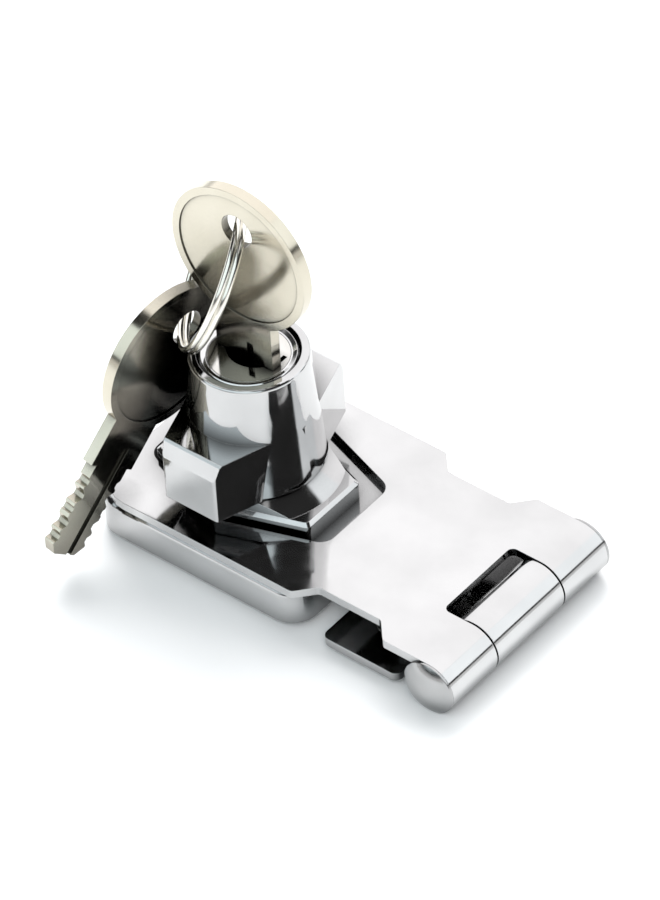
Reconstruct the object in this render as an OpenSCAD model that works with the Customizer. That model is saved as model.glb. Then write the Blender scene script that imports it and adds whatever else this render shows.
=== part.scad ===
// Keyed locking hasp: a hinged strap closes over a post, and a winged knob traps it.
// Origin: the axis of the post, on the mounting face of the base. +X runs towards the hinge.

/* [Base] */
// Length of the base tray along the strap
base_len = 36.4; // [32:0.2:46]
// Width of the base tray
base_w = 31.2; // [29:0.2:33]
// Height of the base tray over the mounting face
base_h = 5.5; // [5:0.1:8]
// Wall of the pressed base tray
base_wall = 1.3; // [1:0.1:1.8]
// Radius of the tray's upright corners
base_corner = 4; // [2:0.5:6]
// Radius of the rolled top edge of the tray
base_edge = 1; // [0.5:0.1:1.2]
// How far the post sits from the middle of the tray
post_offset = 1.2; // [0:0.1:3]
// From the tray's edges to the middle of each mounting screw
screw_inset = 4; // [3.9:0.1:4.6]
// Diameter of the mounting screw holes
screw_d = 3.4; // [3:0.1:3.6]

/* [Post] */
// Half length of the six-sided flange
flange_reach = 13.6; // [13:0.1:14]
// Half width of the flange at its flat ends
flange_end = 5.6; // [4.8:0.1:6]
// Slope of the flange's long sides
hex_slope = 18.5; // [16:0.5:21]
// Height of the flange over the tray
flange_h = 3.2; // [2.8:0.1:4]
// Bevel along the flange's top edge
flange_bevel = 0.5; // [0.2:0.1:0.8]
// Radius of the neck where it leaves the flange
neck_foot_r = 12.3; // [11:0.1:12.6]
// Radius of the neck under the knob
neck_top_r = 9.5; // [8.5:0.1:10]
// Height of the neck over the flange
neck_h = 1.9; // [1.5:0.1:3]
// Radius of the spigot that passes down through the tray
spigot_r = 8; // [7.5:0.1:8.4]

/* [Strap] */
// Width of the strap and of its hinge end
strap_w = 34; // [32:0.5:38]
// Thickness of the folded sheet
sheet = 1.3; // [1:0.1:1.6]
// From the post to the strap's free end
strap_tail = 17.3; // [17:0.1:17.5]
// Radius of the free end's corners
tail_corner = 6; // [5.6:0.1:6.6]
// From the post to the end of the wide part
wide_end = 18.4; // [18:0.1:22]
// Width of the narrow waist
waist_w = 28.2; // [24:0.2:30]
// Length of the waist between its two steps
waist_len = 10.7; // [6:0.1:14]
// Length of each slanted step
step_len = 2.6; // [1.5:0.1:4]
// How far the closed strap lies to the back of the post
strap_shift = 1.5; // [0:0.1:1.5]
// Half length of the six-sided opening for the knob
eye_reach = 15.7; // [15.4:0.1:16.4]
// Half width of that opening at its ends
eye_end = 6.9; // [6.4:0.1:7.4]
// How far the opening's middle lies from the post
eye_shift = 0.8; // [0:0.1:0.8]
// Corner radius of the opening
eye_corner = 2.4; // [1:0.1:3]

/* [Hinge] */
// From the post to the hinge pin
pin_x = 42.2; // [41:0.1:50]
// Outer radius of the rolled knuckles
knuckle_r = 4.1; // [3.9:0.1:4.6]
// Length of the middle knuckle
mid_knuckle = 14.4; // [10:0.2:18]
// End gap beside the middle knuckle
knuckle_gap = 0.3; // [0.2:0.05:0.6]
// From the pin to the edge of the window beside the middle knuckle
window_x = 5; // [4.7:0.1:6]
// Running clearance of the pin in the middle knuckle
pin_run = 0.05; // [0.03:0.01:0.09]
// Height of the pin's domed heads
head_h = 1.7; // [1:0.1:2.5]
// Length of the lower leaf from the pin
leaf_len = 18.8; // [17:0.1:20]
// From the pin to the lower leaf's screw holes
leaf_hole_x = 12; // [10:0.1:13]
// Spacing of the lower leaf's screw holes across it
leaf_hole_dy = 18; // [16:0.5:20]

/* [Knob] */
// Radius of the knob at its top rim
knob_top_r = 8.4; // [8.3:0.1:9]
// Radius of the knob at its underside
knob_foot_r = 9.9; // [9.4:0.1:10.4]
// Height of the knob's turned body
knob_h = 18.9; // [18.4:0.1:22]
// Gap between the knob and the post
knob_gap = 0.15; // [0.1:0.05:0.3]
// From the axis to the end of each wing
wing_reach = 14; // [13:0.1:14.2]
// Half width of a wing at its end
wing_end = 4.6; // [4:0.1:5]
// Height of the wings over the knob's underside
wing_h = 9.7; // [8:0.1:11]
// Height of the slanted facet along the end of each wing
wing_facet = 2.4; // [1:0.1:3]
// Radius of the knob's hollow stem
stem_r = 6; // [5.9:0.1:6.4]
// Running clearance of the stem in the post
stem_run = 0.06; // [0.03:0.01:0.09]

/* [Lock] */
// Radius of the lock body inside the knob
shell_r = 7.2; // [7:0.1:7.3]
// Radius of the turning plug
plug_r = 5.7; // [5.6:0.1:5.8]
// Running clearance of the plug
plug_run = 0.05; // [0.03:0.01:0.09]
// Thickness of one wafer
wafer_t = 1; // [0.8:0.1:1.2]
// Crank radius of the cam pin
crank = 1.5; // [1.3:0.1:1.6]

/* [Keys] */
// Radius of the round key bow
bow_r = 11.4; // [10.4:0.1:11.8]
// Thickness of a key
key_t = 1.7; // [1.5:0.1:1.8]
// Height of the bow's centre over the face of the plug
bow_z = 17.6; // [17.2:0.1:18.4]
// Radius of the hole in the bow
bow_hole_r = 2.6; // [2.5:0.1:2.8]
// From the bow's centre to its hole
bow_hole_up = 4.8; // [4.4:0.1:6]
// Width of the key blade
blade_w = 7.6; // [7:0.1:7.8]
// Width of the neck between bow and blade
neck_w = 9.8; // [9:0.1:10.4]
// Gap left under the blade's tip at the bottom of the plug
tip_gap = 0.7; // [0.3:0.1:0.9]
// Mean radius of the split ring
ring_r = 11.3; // [11.1:0.1:11.8]
// Wire thickness of the split ring
ring_wire = 1; // [0.8:0.1:1]

/* [Hidden] */
$fn = 96;
// Heights over the mounting face
strap_z = base_h;
strap_top = strap_z + sheet;
flange_top = base_h + flange_h;
post_top = flange_top + neck_h;
knob_z = post_top + knob_gap;
knob_top = knob_z + knob_h;
face_drop = 0.6;
shell_top = knob_top - 0.3;
plug_top = knob_top - face_drop;
shell_z = knob_z + 2.6;
plug_z = shell_z + 1;
// Knuckles
knuckle_in = knuckle_r - sheet;
pin_r = knuckle_in - pin_run;
pin_z = strap_top - knuckle_r;
seam = 0.3;
waist_start = wide_end + step_len;
waist_end = waist_start + waist_len;
hinge_start = waist_end + step_len;
window_half = mid_knuckle / 2 + knuckle_gap;
// Post and its fixings
bore_r = stem_r + stem_run;
spigot_drop = 1.9;
spigot_z = base_h - spigot_drop;
post_screw_x = 10.4;
post_screw_r = 1.2;
post_screw_head_r = 2.2;
post_screw_head_h = 1.4;
post_screw_len = base_wall + flange_h - 0.8;
fit = 0.02;
screw_dx = base_len - 2 * screw_inset;
screw_dy = base_w - 2 * screw_inset;
// Stem, washer and clip
stem_z = 1.2;
stem_in = 4.3;
washer_t = 0.8;
washer_r = 7.9;
washer_top = spigot_z - 0.1;
clip_t = 0.7;
clip_r = 7.4;
groove_r = 5.3;
clip_z = washer_top - washer_t - clip_t - 0.05;
// Bolt, cam and their travel over a quarter turn of the key
plug_swing = 90;
bolt_z = 7.4;
bolt_h = 2.3;
bolt_half = 2.9;
bolt_nose = stem_r - 0.1;
bolt_back = 3;
bolt_play = 0.06;
bolt_travel = 2 * crank * sin(plug_swing / 2);
crank_pin_r = 0.8;
cam_z = bolt_z + bolt_h + 0.2;
cam_t = 1.6;
cam_r = 3.6;
tail_r = 3.4;
cavity_r = 5.1;
plug_clip_z = shell_z - 0.75;
// Wafers and key
wafers = 5;
blade_in = plug_top - plug_z - tip_gap;
first_wafer = 3.2;
last_wafer = 2;
wafer_pitch = (blade_in - first_wafer - last_wafer) / (wafers - 1);
wafer_top = plug_top - first_wafer;
wafer_half_y = 2.4;
wafer_hole_x = 4;
wafer_hole_y = 1.25;
wafer_edge = 0.12;
slot_play = 0.1;
lug_x = 1.7;
lug_w = 0.8;
lug_y = 3.9;
spring_r = 0.42;
spring_wire = 0.1;
spring_x = -2.5;
spring_turns = 5;
keyway_half_y = key_t / 2 + 0.1;
keyway_half_x = blade_w / 2 + 0.15;
eye_r = 4.4;
eye_half = 1.6;
// The ring hangs from the bow beside the knob, and the spare key hangs from the ring
hole_z = plug_top + bow_z + bow_hole_up;
ring_lift = -0.5;
ring_tilt = [18, 24, 37];
ring_top = [0, 0, hole_z + ring_lift];
spare_along = 195;
spare_at = ring_top + turned([0, ring_r * sin(spare_along), ring_r * cos(spare_along) - ring_r], ring_tilt);
spare_lean = [-39.5, 10.5, 0];
spare_twist = 82;
key_colour = [0.78, 0.75, 0.68];
chrome = [0.80, 0.82, 0.85];
brass = [0.78, 0.62, 0.30];
steel = [0.62, 0.64, 0.66];
zinc = [0.70, 0.71, 0.73];

// A point turned about X, then Y, then Z
function turned(p, a) =
    let (q = [p.x, p.y * cos(a.x) - p.z * sin(a.x), p.y * sin(a.x) + p.z * cos(a.x)])
    let (s = [q.x * cos(a.y) + q.z * sin(a.y), q.y, q.z * cos(a.y) - q.x * sin(a.y)])
    [s.x * cos(a.z) - s.y * sin(a.z), s.x * sin(a.z) + s.y * cos(a.z), s.z];

// Points of a closed outline with every corner rounded: r is one radius or a radius for each
function unit(v) = v / norm(v);
function short_turn(a) = a > 180 ? a - 360 : a < -180 ? a + 360 : a;
function corner_arc(a, b, c, r, steps) =
    let (u = unit(a - b), w = unit(c - b), half = acos(u * w) / 2)
    let (mid = b + unit(u + w) * r / sin(half), cut = r / tan(half))
    let (p = b + u * cut - mid, q = b + w * cut - mid)
    let (start = atan2(p.y, p.x), turn = short_turn(atan2(q.y, q.x) - start))
    [for (i = [0 : steps]) let (t = start + turn * i / steps) mid + r * [cos(t), sin(t)]];
function rounded(points, r, steps = 8) =
    let (n = len(points))
    [for (i = [0 : n - 1]) each corner_arc(points[(i + n - 1) % n], points[i],
        points[(i + 1) % n], is_list(r) ? r[i] : r, steps)];

// Six-sided outline that flange, opening and wings share
function long_hex(reach, end, slope) =
    let (middle = end + reach * tan(slope))
    [[reach, -end], [reach, end], [0, middle], [-reach, end], [-reach, -end], [0, -middle]];

module round_rect(x, y, r) {
    polygon(rounded([[x / 2, -y / 2], [x / 2, y / 2], [-x / 2, y / 2], [-x / 2, -y / 2]], r));
}

// Four copies at the corners of a rectangle
module at_corners(dx, dy) {
    for (sx = [-1, 1], sy = [-1, 1]) translate([sx * dx / 2, sy * dy / 2, 0]) children();
}

// A countersunk hole that opens upwards at height z
module countersunk(z, thick, d) {
    sink = min(thick, d / 2 * 0.6);
    translate([0, 0, z - 1]) cylinder(h = thick + 2, d = d);
    translate([0, 0, z + thick - sink]) cylinder(h = sink + 0.01, r1 = d / 2, r2 = d / 2 + sink);
}

// Pressed tray with a rolled top edge, open underneath
module base_tray() {
    color(chrome) difference() {
        translate([post_offset, 0, 0]) tray_skin(base_len, base_w, base_h, base_corner, base_edge);
        translate([post_offset, 0, -1])
            linear_extrude(base_h - base_wall + 1)
            round_rect(base_len - 2 * base_wall, base_w - 2 * base_wall, base_corner - base_wall);
        translate([0, 0, -1]) cylinder(h = base_h + 2, r = spigot_r + fit);
        translate([post_offset, 0, 0]) at_corners(screw_dx, screw_dy)
            countersunk(base_h - base_wall, base_wall, screw_d);
        for (s = [-1, 1]) translate([s * post_screw_x, 0, base_h - base_wall - 1])
            cylinder(h = base_wall + 2, r = post_screw_r + 0.1);
    }
}

module tray_skin(x, y, h, r, edge) {
    hull() at_corners(x - 2 * r, y - 2 * r) {
        cylinder(h = h - edge, r = r, $fn = 48);
        translate([0, 0, h - edge]) rotate_extrude($fn = 48) quarter_edge(r, edge);
    }
}

// Half section of a disc whose top edge is rounded
module quarter_edge(r, edge) {
    square([r - edge, edge]);
    intersection() {
        translate([r - edge, 0]) circle(r = edge, $fn = 32);
        square([r, edge]);
    }
}

// Cast post: six-sided flange, cone neck and a spigot through the tray
module lock_post() {
    color(chrome) difference() {
        union() {
            intersection() {
                union() {
                    translate([0, 0, base_h]) cylinder(h = flange_h, r = flange_reach + 2);
                    translate([0, 0, flange_top]) cylinder(h = neck_h, r1 = neck_foot_r, r2 = neck_top_r);
                }
                flange_blank();
            }
            translate([0, 0, spigot_z]) cylinder(h = spigot_drop + 0.5, r = spigot_r);
        }
        translate([0, 0, spigot_z - 1]) cylinder(h = post_top, r = bore_r);
        for (a = [0, -90]) rotate([0, 0, a]) bolt_pocket();
        for (s = [-1, 1]) translate([s * post_screw_x, 0, base_h - base_wall])
            cylinder(h = post_screw_len + 0.3, r = post_screw_r + fit);
    }
}

// The flange outline, bevelled along its top edge and carried up past the neck
module flange_blank() {
    outline = long_hex(flange_reach, flange_end, hex_slope);
    hull() {
        translate([0, 0, base_h]) linear_extrude(flange_h - flange_bevel) polygon(rounded(outline, 0.8));
        translate([0, 0, base_h]) linear_extrude(flange_h)
            polygon(rounded(long_hex(flange_reach - flange_bevel, flange_end - flange_bevel * 0.7,
                hex_slope), 0.8));
    }
    translate([0, 0, flange_top - 0.1]) linear_extrude(neck_h + 0.2)
        polygon(rounded(long_hex(flange_reach - flange_bevel, flange_end - flange_bevel * 0.7,
            hex_slope), 0.8));
}

module bolt_pocket() {
    translate([0, -bolt_half - bolt_play, bolt_z - bolt_play])
        cube([bolt_nose + bolt_travel + 0.3, 2 * (bolt_half + bolt_play), bolt_h + 2 * bolt_play]);
}

// Screws that hold the post to the tray from underneath
module post_screws() {
    color(steel) for (s = [-1, 1]) translate([s * post_screw_x, 0, base_h - base_wall]) {
        cylinder(h = post_screw_len, r = post_screw_r);
        difference() {
            translate([0, 0, -post_screw_head_h]) cylinder(h = post_screw_head_h, r = post_screw_head_r);
            for (a = [0, 90]) rotate([0, 0, a])
                translate([-1.3, -0.25, -post_screw_head_h - 0.1]) cube([2.6, 0.5, 0.8]);
        }
    }
}

// Outline of the strap with its waist, seen from above
function strap_outline() =
    let (w = strap_w / 2, n = waist_w / 2)
    [[-strap_tail, -w], [wide_end, -w], [waist_start, -n], [waist_end, -n], [hinge_start, -w],
        [pin_x, -w], [pin_x, w], [hinge_start, w], [waist_end, n], [waist_start, n],
        [wide_end, w], [-strap_tail, w]];

// Folded strap: flat sheet, six-sided opening, window and two rolled outer knuckles
module hasp_strap() {
    color(chrome) translate([0, strap_shift, 0]) difference() {
        union() {
            translate([0, 0, strap_z]) linear_extrude(sheet) strap_plan();
            for (s = [-1, 1]) translate([0, s * (window_half + strap_w / 2) / 2, 0])
                knuckle(strap_w / 2 - window_half, knuckle_in + fit);
        }
        translate([eye_shift, 0, strap_z - 1]) linear_extrude(sheet + 2)
            polygon(rounded(long_hex(eye_reach, eye_end, hex_slope), eye_corner));
        translate([pin_x - knuckle_r, -strap_w, strap_z - seam]) cube([knuckle_r - 1, 2 * strap_w, seam]);
    }
}

module strap_plan() {
    difference() {
        polygon(rounded(strap_outline(), [tail_corner, each [for (i = [1 : 10]) 0.9], tail_corner], 6));
        translate([pin_x - window_x, -window_half])
            polygon(rounded([[0, 0], [window_x + 3, 0], [window_x + 3, 2 * window_half],
                [0, 2 * window_half]], 1));
    }
    for (s = [-1, 1]) translate([pin_x - 2, s * (window_half + strap_w / 2) / 2])
        square([4, strap_w / 2 - window_half], center = true);
}

// A rolled barrel around the pin
module knuckle(len, inner) {
    translate([pin_x, 0, pin_z]) rotate([90, 0, 0]) difference() {
        cylinder(h = len, r = knuckle_r, center = true);
        cylinder(h = len + 1, r = inner, center = true);
    }
}

// Lower leaf: sheet on the mounting face, offset to the rolled middle knuckle
module hinge_leaf() {
    hole_x = pin_x - leaf_hole_x;
    flat_end = pin_x - knuckle_r - 1.6;
    color(chrome) translate([0, strap_shift, 0]) difference() {
        union() {
            linear_extrude(sheet) polygon(rounded([[pin_x - leaf_len, -strap_w / 2],
                [flat_end, -strap_w / 2], [flat_end, strap_w / 2], [pin_x - leaf_len, strap_w / 2]], 1.2));
            translate([0, mid_knuckle / 2, 0]) rotate([90, 0, 0]) linear_extrude(mid_knuckle)
                polygon([[flat_end - 2, 0], [flat_end, 0], [pin_x - 2, pin_z - knuckle_r],
                    [pin_x, pin_z - knuckle_r], [pin_x, pin_z - knuckle_in - 0.1],
                    [pin_x - 1.6, pin_z - knuckle_in - 0.1], [flat_end, sheet], [flat_end - 2, sheet]]);
            knuckle(mid_knuckle, knuckle_in);
        }
        translate([pin_x, 0, pin_z]) rotate([90, 0, 0])
            cylinder(h = mid_knuckle + 2, r = knuckle_in, center = true);
        for (s = [-1, 1]) translate([hole_x, s * leaf_hole_dy / 2, 0]) countersunk(0, sheet, screw_d);
    }
}

// Rivet pin with two domed heads
module hinge_pin() {
    color(chrome) translate([pin_x, strap_shift, pin_z]) rotate([90, 0, 0]) {
        cylinder(h = strap_w + 0.2, r = pin_r, center = true);
        for (s = [0, 1]) mirror([0, 0, s]) translate([0, 0, strap_w / 2 + 0.02])
            rotate_extrude() dome_section(knuckle_r, head_h);
    }
}

// Half section of a shallow dome of radius r and height h with a short straight rim
module dome_section(r, h) {
    rim = 0.35;
    ball = (r * r + (h - rim) * (h - rim)) / (2 * (h - rim));
    intersection() {
        translate([0, h - ball]) circle(r = ball, $fn = 160);
        square([r, h]);
    }
}

// Knob: tapered body, two flat-ended wings and a hollow stem through the post
module knob() {
    color(chrome) difference() {
        union() {
            translate([0, 0, knob_z]) rotate_extrude() knob_section();
            translate([0, 0, knob_z]) wings();
            translate([0, 0, stem_z]) cylinder(h = knob_z - stem_z + 1, r = stem_r);
        }
        translate([0, 0, shell_z]) cylinder(h = knob_h, r = shell_r + fit);
        translate([0, 0, cam_z - 0.2]) cylinder(h = shell_z - cam_z + 0.3, r = cavity_r);
        translate([0, 0, stem_z - 1]) cylinder(h = cam_z - stem_z + 1, r = stem_in);
        translate([0, 0, clip_z - 0.05]) ring(stem_r + 1, groove_r, clip_t + 0.1);
        bolt_window();
    }
}

// Half section of the knob's turned body, with a rounded rim
module knob_section() {
    rim = 0.5;
    slope = (knob_foot_r - knob_top_r) / knob_h;
    polygon(concat([[0, 0], [knob_foot_r - 0.4, 0], [knob_foot_r, 0.4]],
        [for (i = [0 : 6]) let (a = 90 * i / 6)
            [knob_top_r + slope * rim - rim + rim * cos(a), knob_h - rim + rim * sin(a)]],
        [[0, knob_h]]));
}

module wings() {
    plan = long_hex(wing_reach, wing_end, hex_slope);
    end_top = wing_h - wing_facet;
    intersection() {
        rotate([0, 0, 90]) linear_extrude(wing_h) polygon(rounded(plan, 0.45, 4));
        rotate([90, 0, 90]) linear_extrude(4 * wing_end + knob_foot_r, center = true)
            polygon([[-wing_reach, 0], [wing_reach, 0], [wing_reach, end_top],
                [wing_reach - 0.9, wing_h - 0.25], [wing_reach - 1.3, wing_h], [1.3 - wing_reach, wing_h],
                [0.9 - wing_reach, wing_h - 0.25], [-wing_reach, end_top]]);
    }
}

module ring(outer, inner, h) {
    difference() {
        cylinder(h = h, r = outer);
        translate([0, 0, -1]) cylinder(h = h + 2, r = inner);
    }
}

// Side window in the stem through which the bolt slides
module bolt_window() {
    translate([0, -bolt_half - bolt_play, bolt_z - bolt_play])
        cube([stem_r + 1, 2 * (bolt_half + bolt_play), bolt_h + 2 * bolt_play]);
}

// Lock body fixed in the knob, with a dished face
module lock_shell() {
    lip = 0.9;
    color(chrome) difference() {
        translate([0, 0, shell_z]) rotate_extrude() polygon([[0, 0], [shell_r, 0],
            [shell_r, shell_top - shell_z - lip], [shell_r - 0.35, shell_top - shell_z - 0.25],
            [shell_r - 0.6, shell_top - shell_z], [plug_r + 0.25, plug_top - shell_z],
            [0, plug_top - shell_z]]);
        translate([0, 0, plug_z]) cylinder(h = knob_h, r = plug_r + plug_run);
        translate([0, 0, shell_z - 1]) cylinder(h = knob_h, r = tail_r + plug_run);
    }
}

// Turning plug with keyway, wafer slots and spring pockets
module plug() {
    color(brass) difference() {
        union() {
            translate([0, 0, plug_z + 0.05]) cylinder(h = plug_top - plug_z - 0.05, r = plug_r);
            translate([0, 0, cam_z + cam_t]) cylinder(h = plug_z - cam_z - cam_t + 0.1, r = tail_r);
            translate([-1.6, -1.6, cam_z + 0.1]) cube([3.2, 3.2, cam_t + 1]);
        }
        translate([-keyway_half_x, -keyway_half_y, plug_top - blade_in - 0.3])
            cube([2 * keyway_half_x, 2 * keyway_half_y, blade_in + 1]);
        translate([0, -0.9, plug_top - 1.2]) linear_extrude(2) eye();
        for (i = [0 : wafers - 1]) translate([0, 0, wafer_z(i) - slot_play / 2]) wafer_slot();
        translate([0, 0, plug_clip_z - 0.04]) ring(plug_r, tail_r - 0.5, 0.68);
    }
}

// Almond-shaped mouth of the keyway
module eye() {
    intersection_for (s = [-1, 1]) translate([0, s * (eye_r - eye_half)]) circle(r = eye_r);
}

function wafer_z(i) = wafer_top - wafer_pitch * i;

module wafer_slot() {
    h = wafer_t + slot_play;
    translate([-plug_r - 1, -wafer_half_y - 0.05, 0]) cube([2 * plug_r + 2, 2 * wafer_half_y + 0.1, h]);
    translate([spring_x, 0, 0]) cube([lug_x + lug_w + 0.4 - spring_x, lug_y + 0.1, h]);
}

// Brass wafer with the key's window and a lug for its spring
module wafer(i) {
    color(brass) translate([0, 0, wafer_z(i)]) difference() {
        union() {
            intersection() {
                cylinder(h = wafer_t, r = plug_r - wafer_edge);
                translate([-plug_r, -wafer_half_y, 0]) cube([2 * plug_r, 2 * wafer_half_y, wafer_t]);
            }
            translate([lug_x, wafer_half_y - 0.5, 0]) cube([lug_w, lug_y - wafer_half_y + 0.5, wafer_t]);
        }
        translate([-wafer_hole_x, -wafer_hole_y, -1])
            cube([2 * wafer_hole_x, 2 * wafer_hole_y, wafer_t + 2]);
    }
}

// Small coil spring that presses on the lug of wafer i
module spring(i) {
    steps = 10;
    sides = 6;
    length = lug_x - spring_x - 0.1;
    count = spring_turns * steps;
    path = [for (k = [0 : count]) let (a = 360 * k / steps)
        [spring_x + 0.05 + spring_wire + (length - 2 * spring_wire) * k / count,
            spring_r * cos(a), spring_r * sin(a)]];
    points = [for (k = [0 : count]) let (a = 360 * k / steps)
        each [for (j = [0 : sides - 1]) let (b = 360 * j / sides)
            path[k] + spring_wire * [sin(b), cos(b) * cos(a), cos(b) * sin(a)]]];
    faces = concat([[for (j = [sides - 1 : -1 : 0]) j]],
        [for (k = [0 : count - 1], j = [0 : sides - 1])
            [k * sides + j, k * sides + (j + 1) % sides, (k + 1) * sides + (j + 1) % sides,
                (k + 1) * sides + j]],
        [[for (j = [0 : sides - 1]) count * sides + j]]);
    color(steel) translate([0, (wafer_half_y + lug_y) / 2 + 0.15, wafer_z(i) + wafer_t / 2])
        polyhedron(points, faces);
}

// Clip that keeps the plug in the lock body
module plug_clip() {
    color(steel) translate([0, 0, plug_clip_z]) difference() {
        ring(cavity_r - 0.3, tail_r - 0.5 + fit, 0.6);
        translate([0, -tail_r + 0.9, -1]) cube([cavity_r, 2 * tail_r - 1.8, 3]);
    }
}

// Cam on the plug's square tail, with the crank pin that moves the bolt
module cam() {
    color(steel) difference() {
        union() {
            translate([0, 0, cam_z]) cylinder(h = cam_t - 0.1, r = cam_r);
            rotate([0, 0, 90 + plug_swing / 2]) translate([crank, 0, bolt_z + 0.2])
                cylinder(h = cam_z - bolt_z, r = crank_pin_r);
        }
        translate([-1.62, -1.62, cam_z + 0.08]) cube([3.24, 3.24, cam_t]);
    }
}

// Bolt that slides out of the stem into a pocket of the post
module lock_bolt() {
    slot = crank_pin_r + 0.07;
    near = crank * cos(plug_swing / 2) - crank_pin_r - 0.1;
    far = crank + crank_pin_r + 0.1;
    mid_x = -crank * sin(plug_swing / 2);
    color(steel) translate([0, 0, bolt_z]) difference() {
        intersection() {
            translate([-bolt_back, -bolt_half, 0]) cube([bolt_back + stem_r, 2 * bolt_half, bolt_h]);
            cylinder(h = bolt_h, r = bolt_nose);
        }
        translate([mid_x - slot, near, -1]) cube([2 * slot, far - near, bolt_h + 2]);
    }
}

module knob_washer() {
    color(steel) translate([0, 0, washer_top - washer_t]) ring(washer_r, stem_r + stem_run, washer_t);
}

// Open retaining ring in the groove of the stem
module knob_clip() {
    color(steel) translate([0, 0, clip_z]) difference() {
        ring(clip_r, groove_r + fit, clip_t);
        translate([0, -1.4, -1]) cube([clip_r + 1, 2.8, clip_t + 2]);
    }
}

// A flat key, hanging down from its hole at the origin, with its face along Y
module key() {
    centre = -bow_hole_up;
    shoulder = centre - bow_z + 0.05;
    groove = 0.45;
    groove_w = 1.1;
    groove_z = shoulder - blade_in - 1;
    color(key_colour) difference() {
        union() {
            translate([0, key_t / 2, centre]) rotate([90, 0, 0]) cylinder(h = key_t, r = bow_r);
            translate([-neck_w / 2, -key_t / 2, shoulder]) cube([neck_w, key_t, bow_z - bow_r + 2]);
            translate([0, key_t / 2, 0]) rotate([90, 0, 0]) linear_extrude(key_t) blade_outline(shoulder);
        }
        translate([0, key_t, 0]) rotate([90, 0, 0]) cylinder(h = 2 * key_t, r = bow_hole_r);
        for (s = [0, 1]) mirror([0, s, 0]) {
            translate([0, -key_t / 2 + 0.2, centre]) rotate([90, 0, 0])
                cylinder(h = 1, r = bow_r - 1.2);
        }
        translate([0.5, -key_t / 2 - 1 + groove, groove_z]) cube([groove_w, 1, blade_in + 4]);
        translate([-0.5 - groove_w, key_t / 2 - groove, groove_z]) cube([groove_w, 1, blade_in + 4]);
    }
}

// Blade with a notch at each wafer on both edges and a pointed tip
module blade_outline(shoulder) {
    w = blade_w / 2;
    depth = wafer_pitch / 22 * [5, 10, 3, 8, 6];
    flat = wafer_pitch * 3.5 / 22;
    tip = last_wafer + wafer_t / 2 - flat - 0.8 * depth[wafers - 1] - 0.27;
    first = shoulder - first_wafer + wafer_t / 2;
    notches = [for (i = [0 : wafers - 1]) let (z = first - wafer_pitch * i, d = depth[i])
        each [[w, z + flat + d * 0.8], [w - d, z + flat], [w - d, z - flat], [w, z - flat - d * 0.8]]];
    left = [for (i = [len(notches) - 1 : -1 : 0]) [-notches[i].x, notches[i].y]];
    polygon(concat([[w, shoulder + 1]], notches, [[w, shoulder - blade_in + tip], [w - tip, shoulder - blade_in],
        [tip - w, shoulder - blade_in], [-w, shoulder - blade_in + tip]], left, [[-w, shoulder + 1]]));
}

module key_inserted() {
    translate([0, 0, hole_z]) key();
}

// Split ring: two turns of wire side by side
module key_ring() {
    color(key_colour) translate(ring_top) rotate(ring_tilt)
        translate([0, 0, -ring_r]) rotate([0, 90, 0]) rotate_extrude() {
            for (s = [-1, 1]) translate([ring_r, s * ring_wire * 0.46]) circle(d = ring_wire, $fn = 24);
        }
}

module key_spare() {
    translate(spare_at) rotate(spare_lean) rotate([0, 0, spare_twist]) key();
}

base_tray();
lock_post();
post_screws();
hasp_strap();
hinge_leaf();
hinge_pin();
knob();
lock_shell();
plug();
plug_clip();
wafer(0);  // wafer_1
wafer(1);  // wafer_2
wafer(2);  // wafer_3
wafer(3);  // wafer_4
wafer(4);  // wafer_5
spring(0);  // spring_1
spring(1);  // spring_2
spring(2);  // spring_3
spring(3);  // spring_4
spring(4);  // spring_5
cam();
lock_bolt();
knob_washer();
knob_clip();
key_inserted();
key_ring();
key_spare();
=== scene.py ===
import math

import bpy
from mathutils import Matrix, Vector


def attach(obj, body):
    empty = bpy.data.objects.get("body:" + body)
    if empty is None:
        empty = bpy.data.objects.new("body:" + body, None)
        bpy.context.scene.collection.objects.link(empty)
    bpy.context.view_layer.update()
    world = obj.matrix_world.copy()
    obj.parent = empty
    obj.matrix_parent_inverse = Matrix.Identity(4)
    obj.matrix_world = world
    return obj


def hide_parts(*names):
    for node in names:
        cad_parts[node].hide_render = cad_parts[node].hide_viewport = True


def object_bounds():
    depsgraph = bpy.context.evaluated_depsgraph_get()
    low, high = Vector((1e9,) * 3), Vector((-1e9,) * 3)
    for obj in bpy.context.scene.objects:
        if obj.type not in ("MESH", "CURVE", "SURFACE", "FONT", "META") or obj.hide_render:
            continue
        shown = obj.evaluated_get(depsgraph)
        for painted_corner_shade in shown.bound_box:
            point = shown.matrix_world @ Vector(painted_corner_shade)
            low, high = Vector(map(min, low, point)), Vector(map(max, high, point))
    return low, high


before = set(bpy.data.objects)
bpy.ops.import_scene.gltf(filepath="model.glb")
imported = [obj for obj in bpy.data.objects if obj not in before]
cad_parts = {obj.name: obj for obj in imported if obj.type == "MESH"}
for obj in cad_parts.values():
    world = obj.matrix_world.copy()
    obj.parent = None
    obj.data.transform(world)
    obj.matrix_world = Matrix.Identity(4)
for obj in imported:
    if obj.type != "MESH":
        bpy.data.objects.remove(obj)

CAD_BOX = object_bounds()
MM = 0.001

# The camera stands where the photograph was taken from
IMAGE = (660, 900)
VIEW_AZIMUTH = 41.45
VIEW_ELEVATION = 42.81
VIEW_ROLL = -3.74
VIEW_DISTANCE = 965.07 * MM
FOCAL_PIXELS = 6996.43
SENSOR = 36.0
AIM_POINT = Vector((-2.0, 2.0, 6.8)) * MM
AIM_PIXEL = (255.98, 459.63)


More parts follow.
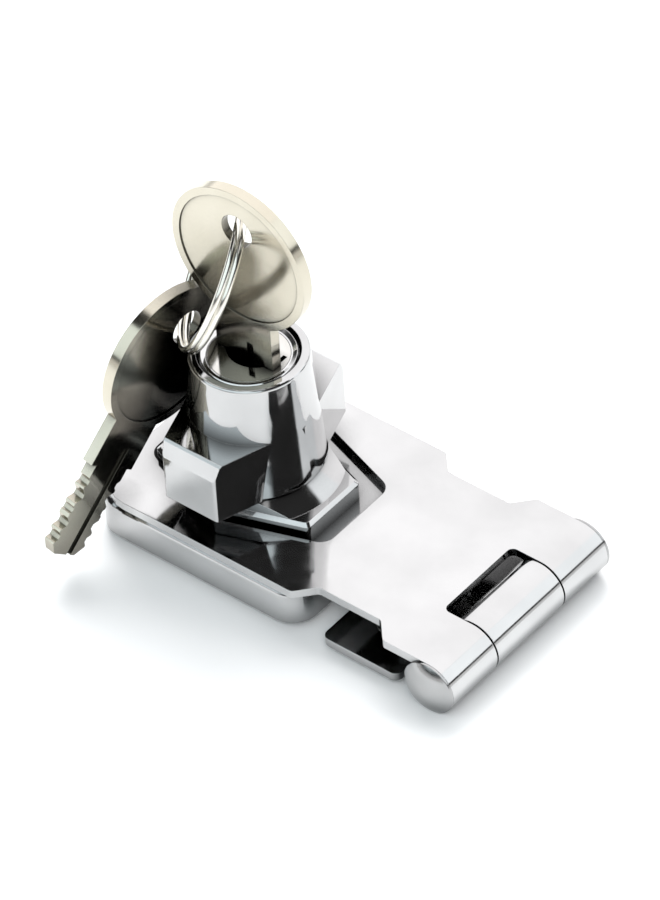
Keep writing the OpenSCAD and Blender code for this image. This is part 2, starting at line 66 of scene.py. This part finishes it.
def view_axes():
    """Right, up and back of the camera, turned by its roll."""
    a, e, r = (math.radians(v) for v in (VIEW_AZIMUTH, VIEW_ELEVATION, VIEW_ROLL))
    back = Vector((math.sin(a) * math.cos(e), -math.cos(a) * math.cos(e), math.sin(e)))
    right = Vector((math.cos(a), math.sin(a), 0))
    up = back.cross(right)
    return (math.cos(r) * right + math.sin(r) * up, math.cos(r) * up - math.sin(r) * right, back)


def add_camera():
    right, up, back = view_axes()
    off_x = (AIM_PIXEL[0] - IMAGE[0] / 2) / FOCAL_PIXELS * VIEW_DISTANCE
    off_y = -(AIM_PIXEL[1] - IMAGE[1] / 2) / FOCAL_PIXELS * VIEW_DISTANCE
    data = bpy.data.cameras.new("photo_camera")
    data.sensor_width = SENSOR
    data.lens = FOCAL_PIXELS * SENSOR / max(IMAGE)
    data.clip_start, data.clip_end = 0.01, 20
    camera = bpy.data.objects.new("photo_camera", data)
    bpy.context.scene.collection.objects.link(camera)
    place = AIM_POINT + VIEW_DISTANCE * back - off_x * right - off_y * up
    turn = Matrix((right, up, back)).transposed().to_4x4()
    camera.matrix_world = Matrix.Translation(place) @ turn
    bpy.context.scene.camera = camera


class Nodes:
    """Short calls for building one node tree."""

    def __init__(self, tree):
        self.tree = tree
        tree.nodes.clear()

    def add(self, kind, inputs=None, **settings):
        node = self.tree.nodes.new(kind)
        for key, value in settings.items():
            setattr(node, key, value)
        for key, value in (inputs or {}).items():
            if isinstance(value, bpy.types.NodeSocket):
                self.tree.links.new(value, node.inputs[key])
            else:
                node.inputs[key].default_value = value
        return node

    def ramp(self, painted_shade_factor, stops):
        node = self.add("ShaderNodeValToRGB", {"Fac": painted_shade_factor})
        ramp = node.color_ramp
        while len(ramp.elements) < len(stops):
            ramp.elements.new(0.5)
        for element, (place, colour) in zip(ramp.elements, stops):
            element.position = place
            element.color = (*colour, 1) if len(colour) == 3 else colour
        return node.outputs["Color"]

    def noise(self, where, scale, detail=3.0, rough=0.5, distort=0.0):
        inputs = {"Vector": where, "Scale": scale, "Detail": detail, "Roughness": rough,
                  "Distortion": distort}
        return self.add("ShaderNodeTexNoise", inputs).outputs["Fac"]

    def span(self, value, low, high, to_low, to_high):
        inputs = {"Value": value, "From Min": low, "From Max": high, "To Min": to_low, "To Max": to_high}
        return self.add("ShaderNodeMapRange", inputs).outputs["Result"]

    def math(self, kind, a, b):
        return self.add("ShaderNodeMath", {0: a, 1: b}, operation=kind).outputs["Value"]

    def place(self, scale=(1, 1, 1)):
        where = self.add("ShaderNodeTexCoord").outputs["Object"]
        return self.add("ShaderNodeMapping", {"Vector": where, "Scale": scale}).outputs["Vector"]


def grey(v):
    return (v, v, v)


def metal(name, dark, light, rough, patch=90.0, wave=0.0, grain=0.0, grain_scale=(1, 1, 1), edge=0.12,
          painted_corner_shade=None):
    """Polished or brushed metal: patchy colour and gloss, soft edges, slow waves and fine grain.

    The last argument gives the reach in millimetres and the power of painted shade: ambient occlusion darkens
    the colour where surfaces face each other.
    """
    material = bpy.data.materials.new(name)
    material.use_nodes = True
    n = Nodes(material.node_tree)
    where = n.place()
    patches = n.noise(where, patch, 4)
    colour = n.ramp(patches, [(0.3, dark), (0.7, light)])
    # Painted shade: ambient occlusion darkens the base colour near other surfaces
    if painted_corner_shade:
        reach, depth = painted_corner_shade
        open_air = n.add("ShaderNodeAmbientOcclusion", {"Distance": reach * MM}, samples=8).outputs["AO"]
        painted_shade_factor = n.math("POWER", open_air, depth)
        colour = n.add("ShaderNodeVectorMath", {0: colour, "Scale": painted_shade_factor}, operation="SCALE").outputs["Vector"]
    smudges = n.noise(where, patch * 3.1, 5, 0.6)
    gloss = n.span(smudges, 0.3, 0.75, rough[0], rough[1])
    rounded = n.add("ShaderNodeBevel", {"Radius": edge * MM}, samples=4)
    waves = n.add("ShaderNodeBump", {"Height": n.noise(where, 160.0, 1), "Distance": 0.1 * MM,
                                     "Strength": wave, "Normal": rounded.outputs["Normal"]})
    lines = n.add("ShaderNodeBump", {"Height": n.noise(n.place(grain_scale), 1500.0, 3, 0.6),
                                     "Distance": 0.02 * MM, "Strength": grain,
                                     "Normal": waves.outputs["Normal"]})
    shader = n.add("ShaderNodeBsdfPrincipled", {"Base Color": colour, "Metallic": 1.0,
                                                "Roughness": gloss, "Normal": lines.outputs["Normal"]})
    n.add("ShaderNodeOutputMaterial", {"Surface": shader.outputs["BSDF"]})
    return material


def dress(names, material):
    for name in names:
        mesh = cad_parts[name].data
        mesh.materials.clear()
        mesh.materials.append(material)


def add_materials():
    # Chrome and sheet get painted shade: their colour darkens where other surfaces are near
    chrome = metal("bright_chrome", grey(0.52), grey(0.60), (0.04, 0.1), wave=0.06, grain=0.02,
                   painted_corner_shade=(4.0, 1.3))
    sheet = metal("plated_sheet", grey(0.56), grey(0.64), (0.05, 0.13), wave=0.2, grain=0.05,
                  grain_scale=(0.1, 1, 1), painted_corner_shade=(5.0, 1.5))
    # The rivet is the same chrome as the rest; its darker colour is painted shade, and it also gets painted
    # shade near other surfaces
    rivet = metal("rivet_chrome_painted_dark", grey(0.36), grey(0.50), (0.08, 0.2), wave=0.15, grain=0.1, painted_corner_shade=(4.0, 1.3))
    face = metal("lock_face", grey(0.64), grey(0.70), (0.05, 0.12), wave=0.05, grain=0.05)
    # Plug face gets painted shade: its colour goes dark in the keyway mouth and around the key neck
    plug = metal("plug_face", (0.66, 0.65, 0.62), (0.72, 0.71, 0.68), (0.06, 0.14), wave=0.05, grain=0.08,
                 painted_corner_shade=(2.5, 2.5))
    brass = metal("wafer_brass", (0.66, 0.50, 0.22), (0.80, 0.64, 0.32), (0.25, 0.4), grain=0.3)
    steel = metal("dull_steel", grey(0.42), grey(0.60), (0.25, 0.45), grain=0.4)
    # Keys get painted shade: their colour darkens where they face the knob, the ring and each other
    nickel = metal("key_nickel", (0.60, 0.56, 0.46), (0.68, 0.64, 0.54), (0.12, 0.2), wave=0.04,
                   grain=0.1, grain_scale=(1, 1, 0.15), painted_corner_shade=(14.0, 2.2))
    wire = metal("ring_nickel", (0.74, 0.71, 0.64), (0.90, 0.88, 0.82), (0.08, 0.2), grain=0.1)
    dress(["base_tray", "hasp_strap", "hinge_leaf"], sheet)
    dress(["lock_post", "knob"], chrome)
    dress(["hinge_pin"], rivet)
    dress(["lock_shell"], face)
    dress(["plug"], plug)
    dress(["wafer_%d" % i for i in range(1, 6)], brass)
    dress(["spring_%d" % i for i in range(1, 6)], steel)
    dress(["post_screws", "plug_clip", "cam", "lock_bolt", "knob_washer", "knob_clip"], steel)
    dress(["key_inserted", "key_spare"], nickel)
    dress(["key_ring"], wire)
    add_split_ring(wire)


def prism(name, outline, low, high):
    """Closed upright prism over an outline in millimetres."""
    count = len(outline)
    points = [(x * MM, y * MM, z * MM) for z in (low, high) for x, y in outline]
    sides = [(i, (i + 1) % count, count + (i + 1) % count, count + i) for i in range(count)]
    mesh = bpy.data.meshes.new(name)
    mesh.from_pydata(points, [], [tuple(range(count))[::-1], tuple(range(count, 2 * count))] + sides)
    mesh.update()
    return bpy.data.objects.new(name, mesh)


def cut(node, cutter):
    """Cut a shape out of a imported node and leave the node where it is."""
    bpy.context.scene.collection.objects.link(cutter)
    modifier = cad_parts[node].modifiers.new("cut", "BOOLEAN")
    modifier.operation = "DIFFERENCE"
    modifier.solver = "EXACT"
    modifier.object = cutter
    cutter.hide_render = True
    cutter.hide_viewport = True


# The mouth of the keyway in the plug's face
MOUTH_HALF_LENGTH = 4.3
MOUTH_HALF_WIDTH = 1.75
MOUTH_DEPTH = 2.1
PLUG_TOP = 29.05


def add_keyway_mouth():
    radius = (MOUTH_HALF_LENGTH ** 2 + MOUTH_HALF_WIDTH ** 2) / (2 * MOUTH_HALF_WIDTH)
    reach = math.asin(MOUTH_HALF_LENGTH / radius)
    arc = [reach * (2 * i / 16 - 1) for i in range(17)]
    front = [(radius * math.sin(a), radius - MOUTH_HALF_WIDTH - radius * math.cos(a)) for a in arc]
    back = [(-x, -y) for x, y in front[1:-1]]
    cut("plug", prism("mouth", front + back, PLUG_TOP - MOUTH_DEPTH, PLUG_TOP + 1))
    slit = [(4.0, 0.0), (4.65, 0.0), (4.65, 2.5), (4.0, 2.5)]
    cut("plug", prism("slit", slit, PLUG_TOP - 1.2, PLUG_TOP + 1))


# Split ring: mean radius, wire, place of its top and its turn, as the solid ring has them
RING_RADIUS = 11.3
RING_WIRE = 1.0
RING_TOP = Vector((0, 0, 50.95))
RING_TURN = (18, 24, 37)
RING_START = 60
RING_JOG = 34


def ring_point(angle, across, out):
    """Point of the ring in metres: angle from its top, across the two turns, out from its middle."""
    a = math.radians(angle)
    reach = RING_RADIUS + out
    local = Vector((across, reach * math.sin(a), reach * math.cos(a) - RING_RADIUS))
    for axis, turn in zip("XYZ", RING_TURN):
        local = Matrix.Rotation(math.radians(turn), 3, axis) @ local
    return (RING_TOP + local) * MM


def add_split_ring(material):
    """Wire wound twice round; it steps from one turn to the other between its two ends."""
    sides = 16
    turned = 720 - RING_JOG
    angles = [turned * i / 240 for i in range(241)]
    points, faces = [], []
    for angle in angles:
        step = min(max((angle - 360 + RING_JOG) / RING_JOG, 0), 1)
        layer = 0.46 * RING_WIRE * (2 * step * step * (3 - 2 * step) - 1)
        end = min(angle, turned - angle) / turned * 240
        radius = RING_WIRE / 2 * (0.72 if end < 0.5 else 1)
        for i in range(sides):
            b = math.tau * i / sides
            points.append(ring_point(RING_START + angle, layer + radius * math.sin(b), radius * math.cos(b)))
    for row in range(len(angles) - 1):
        for i in range(sides):
            a, b = row * sides + i, row * sides + (i + 1) % sides
            faces.append((a, b, b + sides, a + sides))
    faces.append(tuple(range(sides))[::-1])
    faces.append(tuple(range(len(points) - sides, len(points))))
    mesh = bpy.data.meshes.new("split_ring")
    mesh.from_pydata(points, [], faces)
    mesh.polygons.foreach_set("use_smooth", [len(face) == 4 for face in faces])
    mesh.materials.append(material)
    ring = bpy.data.objects.new("split_ring", mesh)
    bpy.context.scene.collection.objects.link(ring)
    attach(ring, "ring")
    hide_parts("key_ring")


def add_floor():
    low, high = CAD_BOX
    size = 3.0
    mesh = bpy.data.meshes.new("floor")
    corners = [(-size, -size), (size, -size), (size, size), (-size, size)]
    mesh.from_pydata([(x, y, low.z) for x, y in corners], [], [(0, 1, 2, 3)])
    floor = bpy.data.objects.new("floor", mesh)
    bpy.context.scene.collection.objects.link(floor)
    material = bpy.data.materials.new("pale_floor")
    material.use_nodes = True
    n = Nodes(material.node_tree)
    tone = n.ramp(n.noise(n.place(), 3.0, 2), [(0.3, grey(0.93)), (0.7, grey(0.96))])
    shader = n.add("ShaderNodeBsdfPrincipled", {"Base Color": tone, "Roughness": 0.8})
    n.add("ShaderNodeOutputMaterial", {"Surface": shader.outputs["BSDF"]})
    mesh.materials.append(material)


def add_fill(name, place, size, watts):
    """A lamp that lights the floor but isn't seen in the chrome."""
    data = bpy.data.lights.new(name, "AREA")
    data.size = size
    data.energy = watts
    light = bpy.data.objects.new(name, data)
    bpy.context.scene.collection.objects.link(light)
    light.location = place
    light.rotation_mode = "QUATERNION"
    light.rotation_quaternion = Vector(place).to_track_quat("Z", "Y")
    light.visible_glossy = False


# Softboxes of the studio: direction, half width and half height in degrees, brightness, colour
SOFTBOXES = [
    ((-0.32, 0.66, 0.68), 43, 38, 1.5, (1.0, 0.99, 1.0)),
    ((0.56, 0.62, 0.50), 19, 18, 1.5, (0.95, 0.98, 1.0)),
    ((0.10, 0.0, 1.0), 15, 15, 0.75, (1.0, 1.0, 1.0)),
    ((0.06, -0.73, 0.66), 46, 27, 1.35, (0.86, 0.96, 1.0)),
]
DARK_SKY = 0.035
PALE_SKY = 0.85
HORIZON = 0.10


def softbox(n, ray, direction, half_width, half_height, strength):
    """Brightness of a rectangular light seen along the ray."""
    middle = Vector(direction).normalized()
    side = middle.cross(Vector((0, 0, 1))).normalized()
    top = side.cross(middle)
    part = []
    for axis, half in ((side, half_width), (top, half_height)):
        across = n.add("ShaderNodeVectorMath", {0: ray, 1: axis}, operation="DOT_PRODUCT")
        along = n.add("ShaderNodeVectorMath", {0: ray, 1: middle}, operation="DOT_PRODUCT")
        angle = n.math("ARCTAN2", n.math("ABSOLUTE", across.outputs["Value"], 0.0), along.outputs["Value"])
        edge = math.radians(half)
        part.append(n.span(angle, edge, edge * 0.9, 0.0, 1.0))
    return n.math("MULTIPLY", n.math("MULTIPLY", part[0], part[1]), strength)


def add_studio():
    """A dark room with softboxes and a pale horizon, which is what bright chrome shows."""
    world = bpy.data.worlds.new("studio")
    bpy.context.scene.world = world
    world.use_nodes = True
    n = Nodes(world.node_tree)
    ray = n.add("ShaderNodeTexCoord").outputs["Generated"]
    height = n.add("ShaderNodeSeparateXYZ", {"Vector": ray}).outputs["Z"]
    level = n.span(height, HORIZON, HORIZON * 1.6, PALE_SKY, DARK_SKY)
    level = n.add("ShaderNodeCombineXYZ", {"X": level, "Y": level, "Z": level}).outputs["Vector"]
    for direction, half_width, half_height, strength, colour in SOFTBOXES:
        glow = softbox(n, ray, direction, half_width, half_height, strength)
        tinted = n.add("ShaderNodeVectorMath", {0: colour, "Scale": glow}, operation="SCALE")
        level = n.add("ShaderNodeVectorMath", {0: level, 1: tinted.outputs["Vector"]},
                      operation="MAXIMUM").outputs["Vector"]
    light = n.add("ShaderNodeBackground", {"Color": level, "Strength": 1.0})
    n.add("ShaderNodeOutputWorld", {"Surface": light.outputs["Background"]})
    add_fill("fill_back", (-0.5, 0.6, 0.9), 0.8, 10)
    add_fill("fill_front", (0.6, -0.7, 0.9), 0.8, 6)
    bpy.context.scene.view_settings.view_transform = "Standard"


add_camera()
add_materials()
add_keyway_mouth()
add_floor()
add_studio()
